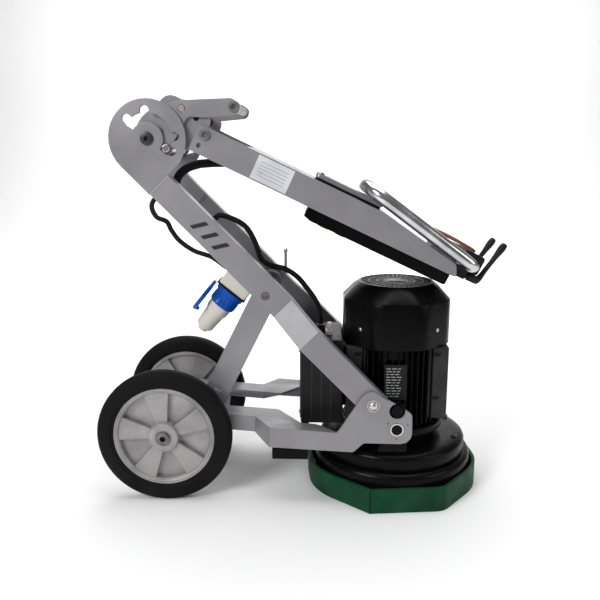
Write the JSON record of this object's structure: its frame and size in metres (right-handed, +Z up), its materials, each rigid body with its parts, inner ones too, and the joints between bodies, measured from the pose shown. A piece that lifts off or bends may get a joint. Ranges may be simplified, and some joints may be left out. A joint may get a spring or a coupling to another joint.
{
  "type": "concrete grinder",
  "caption": "Walk-behind single-disc floor grinder folded for transport: motor head with skirt on a two-beam wheeled chassis, folding tapered handle and chrome grip bar.",
  "frame": {"origin": "on the floor under the middle of the overall length and width", "axes": "+X forwards from the transport wheels to the grinding head, +Y across the machine to its far side, +Z up from the floor"},
  "size_m": [0.7562, 0.3396, 0.7327],
  "materials": {
    "silver_paint": "satin silver-grey powder coat with a faint violet cast",
    "cast_aluminium": "painted silver die casting, satin",
    "tyre_rubber": "matt black solid tyre with dusty tread",
    "bright_steel": "turned steel, lightly worn",
    "black_paint": "semi-gloss black paint, scuffed on the edges",
    "dark_steel": "dark oiled steel",
    "black_plastic": "fine-grained black moulding",
    "black_rubber": "matt black rubber",
    "green_rubber": "dark green rubber, dusty",
    "chrome": "polished chrome plate",
    "brown_pad": "red-brown pad, matt",
    "bronze": "bronze pin, polished by use",
    "ivory_plastic": "ivory moulding, lightly soiled",
    "blue_plastic": "blue moulding, satin",
    "green_plastic": "green button",
    "red_plastic": "red button"
  },
  "bodies": {
    "chassis": {"axle": "bright_steel", "arm_near": "silver_paint", "arm_far": "silver_paint", "cross_bar": "black_paint", "beam_near": "silver_paint", "beam_far": "silver_paint", "quadrant_near": "silver_paint", "quadrant_far": "silver_paint", "strut_near": "silver_paint", "strut_far": "silver_paint", "strut_tie": "dark_steel", "pivot_bolt": "dark_steel", "trunnion_bush_near": "bright_steel", "trunnion_bush_far": "bright_steel", "inlet_box": "ivory_plastic", "inlet_gasket": "black_rubber", "inlet_collar": "blue_plastic", "inlet_cable": "black_rubber", "harness_low": "black_rubber", "motor_cable": "black_rubber"},
    "wheel_near": {"wheel_near": "cast_aluminium", "tyre_near": "tyre_rubber"},
    "wheel_far": {"wheel_far": "cast_aluminium", "tyre_far": "tyre_rubber"},
    "head": {"pan": "black_paint", "dish": "black_paint", "motor": "black_paint", "cowl": "black_paint", "terminal_case": "black_plastic", "head_ear_near": "black_paint", "head_ear_far": "black_paint"},
    "rotor": {"grinding_disc": "dark_steel"},
    "skirt": {"skirt": "green_rubber"},
    "handle": {"hinge_plate_near": "silver_paint", "hinge_plate_far": "silver_paint", "cheek_near": "silver_paint", "cheek_far": "silver_paint", "handle_cover": "silver_paint", "handle_bolt": "dark_steel", "cross_roller": "black_rubber", "drive_box": "black_paint", "panel_gasket": "black_rubber", "panel": "silver_paint", "switch_box": "silver_paint", "clamp_near": "black_plastic", "clamp_far": "black_plastic", "lever_pin": "bronze", "harness_high": "black_rubber"},
    "release": {"release_lever_near": "silver_paint", "release_lever_far": "silver_paint", "release_grip": "dark_steel", "lock_pin": "bright_steel"},
    "handlebar": {"handlebar": "chrome"},
    "clamp_lever_near": {"clamp_lever_near": "black_plastic"},
    "clamp_lever_far": {"clamp_lever_far": "black_plastic"},
    "paddle": {"paddle": "brown_pad"},
    "start_button": {"start_button": "green_plastic"},
    "stop_button": {"stop_button": "red_plastic"},
    "lid": {"inlet_lid": "blue_plastic"},
    "plug": {"plug": "ivory_plastic"}
  },
  "joints": [
    {"name": "wheel_spin_near", "type": "hinge", "parent": "chassis", "child": "wheel_near", "pos_m": [-0.25306, -0.116, 0.125], "axis": [0, 1, 0], "continuous": true},
    {"name": "wheel_spin_far", "type": "hinge", "parent": "chassis", "child": "wheel_far", "pos_m": [-0.25306, 0.116, 0.125], "axis": [0, 1, 0], "continuous": true},
    {"name": "head_tilt", "type": "hinge", "parent": "chassis", "child": "head", "pos_m": [0.17194, 0, 0.148], "axis": [0, -1, 0], "range_deg": [-3, 2], "deforming": ["motor_cable"]},
    {"name": "disc_spin", "type": "hinge", "parent": "head", "child": "rotor", "pos_m": [0.17794, 0, 0], "axis": [0, 0, 1], "continuous": true},
    {"name": "skirt_float", "type": "slide", "parent": "head", "child": "skirt", "axis": [0, 0, 1], "range_m": [0, 0.012]},
    {"name": "handle_fold", "type": "hinge", "parent": "chassis", "child": "handle", "pos_m": [-0.26856, 0, 0.659], "axis": [0, -1, 0], "range_deg": [0, 162]},
    {"name": "release_lever", "type": "hinge", "parent": "handle", "child": "release", "pos_m": [-0.20806, 0, 0.7095], "axis": [0, -1, 0], "range_deg": [0, 4.5]},
    {"name": "handlebar_swing", "type": "hinge", "parent": "handle", "child": "handlebar", "pos_m": [0.31035, 0, 0.43291], "axis": [0, 1, 0], "range_deg": [0, 80]},
    {"name": "clamp_turn_near", "type": "hinge", "parent": "handle", "child": "clamp_lever_near", "pos_m": [0.29983, -0.04, 0.41465], "axis": [0.9041, 0, -0.4274], "range_deg": [-20, 45]},
    {"name": "clamp_turn_far", "type": "hinge", "parent": "handle", "child": "clamp_lever_far", "pos_m": [0.29983, 0.04, 0.41465], "axis": [0.9041, 0, -0.4274], "range_deg": [-45, 20]},
    {"name": "paddle_press", "type": "hinge", "parent": "handle", "child": "paddle", "pos_m": [0.31582, 0, 0.45853], "axis": [0, -1, 0], "range_deg": [0, 2.2], "stiffness_Nm_per_rad": 8, "springref_deg": -1.15},
    {"name": "start_press", "type": "slide", "parent": "handle", "child": "start_button", "axis": [0.4274, 0, 0.9041], "range_m": [0, 0.004], "stiffness_N_per_m": 250, "springref_m": -0.001},
    {"name": "stop_press", "type": "slide", "parent": "handle", "child": "stop_button", "axis": [0.4274, 0, 0.9041], "range_m": [0, 0.004], "stiffness_N_per_m": 250, "springref_m": -0.001},
    {"name": "lid_swing", "type": "hinge", "parent": "chassis", "child": "lid", "pos_m": [-0.1702, -0.02, 0.39155], "axis": [0, 1, 0], "range_deg": [0, 40]},
    {"name": "plug_slide", "type": "slide", "parent": "chassis", "child": "plug", "axis": [-0.6293, 0, -0.7771], "range_m": [0, 0.045]}
  ]
}
